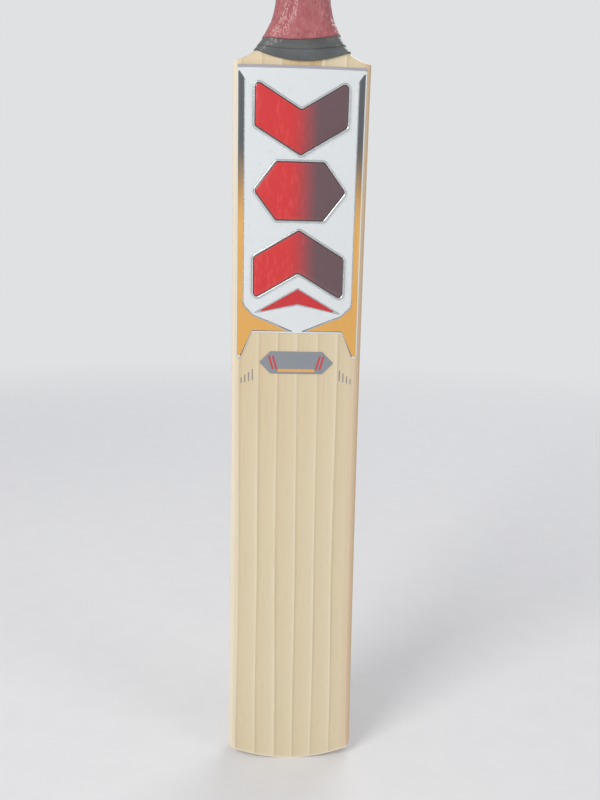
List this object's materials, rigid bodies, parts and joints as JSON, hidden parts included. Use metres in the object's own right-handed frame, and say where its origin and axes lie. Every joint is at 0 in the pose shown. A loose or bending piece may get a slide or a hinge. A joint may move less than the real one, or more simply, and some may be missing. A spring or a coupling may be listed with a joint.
{
  "type": "cricket bat",
  "caption": "Adult cricket bat: willow blade with a bowed face and swept spine, spliced cane handle, rubber grip, neck tape and a face sticker with raised blocks.",
  "frame": {"origin": "centre of the round top-hand part of the grip, on the handle's axis", "axes": "+Z along the handle towards the butt end, -Z towards the toe, the blade's face looks towards -Y, +X across the blade"},
  "size_m": [0.105, 0.0844, 0.8595],
  "materials": {
    "willow": "smooth, sealed pale willow with straight growth lines",
    "cane": "plain cane strips, glued side by side",
    "rubber_strip": "thin dark rubber sheet",
    "twine": "waxed thread wound closely round the handle",
    "grip": "soft dusty red rubber with a fine raised texture",
    "tape": "matt grey cloth tape",
    "sticker": "glossy printed film",
    "block": "domed resin, red fading to grey",
    "rim": "bright silver foil rim",
    "plaque": "grey printed film"
  },
  "bodies": {
    "root": {"blade": "willow", "cane_1_left": "cane", "cane_1_middle": "cane", "cane_1_right": "cane", "cane_2_left": "cane", "cane_2_middle": "cane", "cane_2_right": "cane", "cane_3_left": "cane", "cane_3_middle": "cane", "cane_3_right": "cane", "cane_4_left": "cane", "cane_4_middle": "cane", "cane_4_right": "cane", "rubber_strip_front": "rubber_strip", "rubber_strip_middle": "rubber_strip", "rubber_strip_back": "rubber_strip", "twine_binding": "twine", "grip": "grip", "neck_tape_upper": "tape", "neck_tape_lower": "tape", "face_sticker": "sticker", "plaque_sticker": "plaque", "block_upper": "block", "rim_upper": "rim", "block_middle": "block", "rim_middle": "rim", "block_lower": "block", "rim_lower": "rim"}
  },
  "joints": []
}
